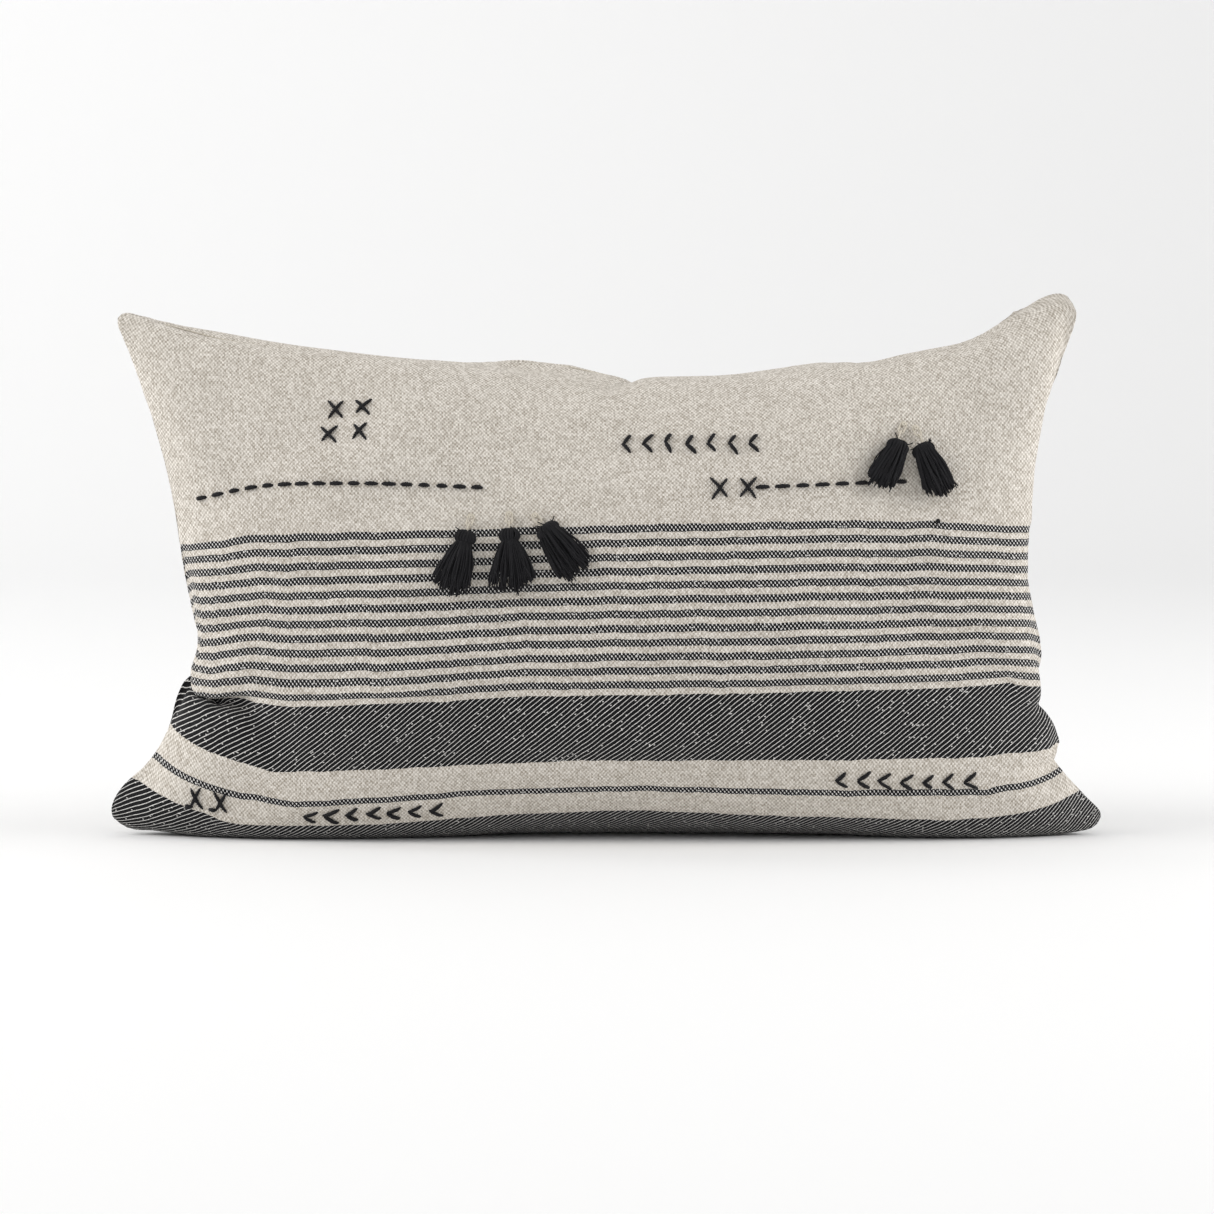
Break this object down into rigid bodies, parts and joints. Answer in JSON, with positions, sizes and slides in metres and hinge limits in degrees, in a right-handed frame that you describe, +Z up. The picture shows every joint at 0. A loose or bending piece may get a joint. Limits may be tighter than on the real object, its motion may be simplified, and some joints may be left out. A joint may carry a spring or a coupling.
{
  "type": "throw pillow",
  "caption": "Lumbar throw pillow with a zipped woven cover, thread embroidery, swinging tassels and a filled insert, standing on its long edge.",
  "frame": {"origin": "middle of the footprint, on the surface that the pillow stands on", "axes": "+X to the viewer's right along the length, +Y from the embroidered front to the back, +Z up"},
  "size_m": [0.588, 0.1572, 0.321],
  "materials": {
    "cover_cloth": "matte",
    "casing_cloth": "matte",
    "fill": "matte",
    "sewing_thread": "matte",
    "embroidery_thread": "matte",
    "tassel_yarn": "matte",
    "zipper_tape": "matte",
    "zipper_coil": "satin",
    "zipper_metal": "satin"
  },
  "bodies": {
    "root": {"cover_front_panel": "cover_cloth", "insert_casing_front": "casing_cloth", "cover_back_panel": "cover_cloth", "insert_casing_back": "casing_cloth", "insert_fill": "fill", "seam_thread_left": "sewing_thread", "seam_thread_right": "sewing_thread", "seam_thread_top": "sewing_thread", "zipper_tape_front": "zipper_tape", "zipper_coil_front": "zipper_coil", "zipper_tape_back": "zipper_tape", "zipper_coil_back": "zipper_coil", "zipper_top_stops": "zipper_metal", "zipper_bottom_stop": "zipper_metal", "crosses_upper_left": "embroidery_thread", "crosses_right": "embroidery_thread", "crosses_lower_left": "embroidery_thread", "chevrons_upper_right": "embroidery_thread", "chevrons_lower_left": "embroidery_thread", "chevrons_lower_right": "embroidery_thread", "running_stitch_left": "embroidery_thread", "running_stitch_right": "embroidery_thread", "thread_knot": "embroidery_thread", "tassel_1_anchor": "tassel_yarn", "tassel_2_anchor": "tassel_yarn", "tassel_3_anchor": "tassel_yarn", "tassel_4_anchor": "tassel_yarn", "tassel_5_anchor": "tassel_yarn"},
    "slider": {"zipper_slider": "zipper_metal"},
    "pull_tab": {"zipper_pull_tab": "zipper_metal"},
    "tassel_1_hanger": {"tassel_1_link": "tassel_yarn"},
    "tassel_1": {"tassel_1_head": "tassel_yarn", "tassel_1_neck_wrap": "tassel_yarn", "tassel_1_skirt": "tassel_yarn"},
    "tassel_2_hanger": {"tassel_2_link": "tassel_yarn"},
    "tassel_2": {"tassel_2_head": "tassel_yarn", "tassel_2_neck_wrap": "tassel_yarn", "tassel_2_skirt": "tassel_yarn"},
    "tassel_3_hanger": {"tassel_3_link": "tassel_yarn"},
    "tassel_3": {"tassel_3_head": "tassel_yarn", "tassel_3_neck_wrap": "tassel_yarn", "tassel_3_skirt": "tassel_yarn"},
    "tassel_4_hanger": {"tassel_4_link": "tassel_yarn"},
    "tassel_4": {"tassel_4_head": "tassel_yarn", "tassel_4_neck_wrap": "tassel_yarn", "tassel_4_skirt": "tassel_yarn"},
    "tassel_5_hanger": {"tassel_5_link": "tassel_yarn"},
    "tassel_5": {"tassel_5_head": "tassel_yarn", "tassel_5_neck_wrap": "tassel_yarn", "tassel_5_skirt": "tassel_yarn"}
  },
  "joints": [
    {"name": "zipper_slide", "type": "slide", "parent": "root", "child": "slider", "axis": [-1, 0, 0], "range_m": [0, 0.44]},
    {"name": "pull_tab_turn", "type": "hinge", "parent": "slider", "child": "pull_tab", "pos_m": [0.22, -0.00299, 0.004], "axis": [0, -1, 0], "range_deg": [0, 180]},
    {"name": "tassel_1_swing", "type": "hinge", "parent": "root", "child": "tassel_1_hanger", "pos_m": [-0.0791, -0.05885, 0.1927], "axis": [-0.0622, -0.9605, 0.2713], "range_deg": [-60, 6]},
    {"name": "tassel_1_lift", "type": "hinge", "parent": "tassel_1_hanger", "child": "tassel_1", "pos_m": [-0.08078, -0.0627, 0.18829], "axis": [-0.9594, 0.1325, 0.2491], "range_deg": [0, 90]},
    {"name": "tassel_2_swing", "type": "hinge", "parent": "root", "child": "tassel_2_hanger", "pos_m": [-0.057, -0.05954, 0.1942], "axis": [-0.0368, -0.9548, 0.295], "range_deg": [-5, 5]},
    {"name": "tassel_2_lift", "type": "hinge", "parent": "tassel_2_hanger", "child": "tassel_2", "pos_m": [-0.05687, -0.06366, 0.18972], "axis": [-0.9985, 0.023, -0.05], "range_deg": [0, 90]},
    {"name": "tassel_3_swing", "type": "hinge", "parent": "root", "child": "tassel_3_hanger", "pos_m": [-0.0419, -0.06027, 0.1934], "axis": [-0.0238, -0.9532, 0.3013], "range_deg": [-8, 48]},
    {"name": "tassel_3_lift", "type": "hinge", "parent": "tassel_3_hanger", "child": "tassel_3", "pos_m": [-0.03869, -0.06415, 0.18999], "axis": [-0.8029, -0.1614, -0.5738], "range_deg": [0, 90]},
    {"name": "tassel_4_swing", "type": "hinge", "parent": "root", "child": "tassel_4_hanger", "pos_m": [0.1745, -0.02957, 0.2455], "axis": [0.1085, -0.917, 0.3839], "range_deg": [-50, 8]},
    {"name": "tassel_4_lift", "type": "hinge", "parent": "tassel_4_hanger", "child": "tassel_4", "pos_m": [0.17279, -0.03413, 0.24186], "axis": [-0.9256, 0.0477, 0.3756], "range_deg": [0, 90]},
    {"name": "tassel_5_swing", "type": "hinge", "parent": "root", "child": "tassel_5_hanger", "pos_m": [0.1815, -0.02947, 0.2435], "axis": [0.129, -0.9268, 0.3528], "range_deg": [-8, 50]},
    {"name": "tassel_5_lift", "type": "hinge", "parent": "tassel_5_hanger", "child": "tassel_5", "pos_m": [0.18429, -0.03332, 0.23972], "axis": [-0.885, -0.2681, -0.3806], "range_deg": [0, 90]}
  ]
}
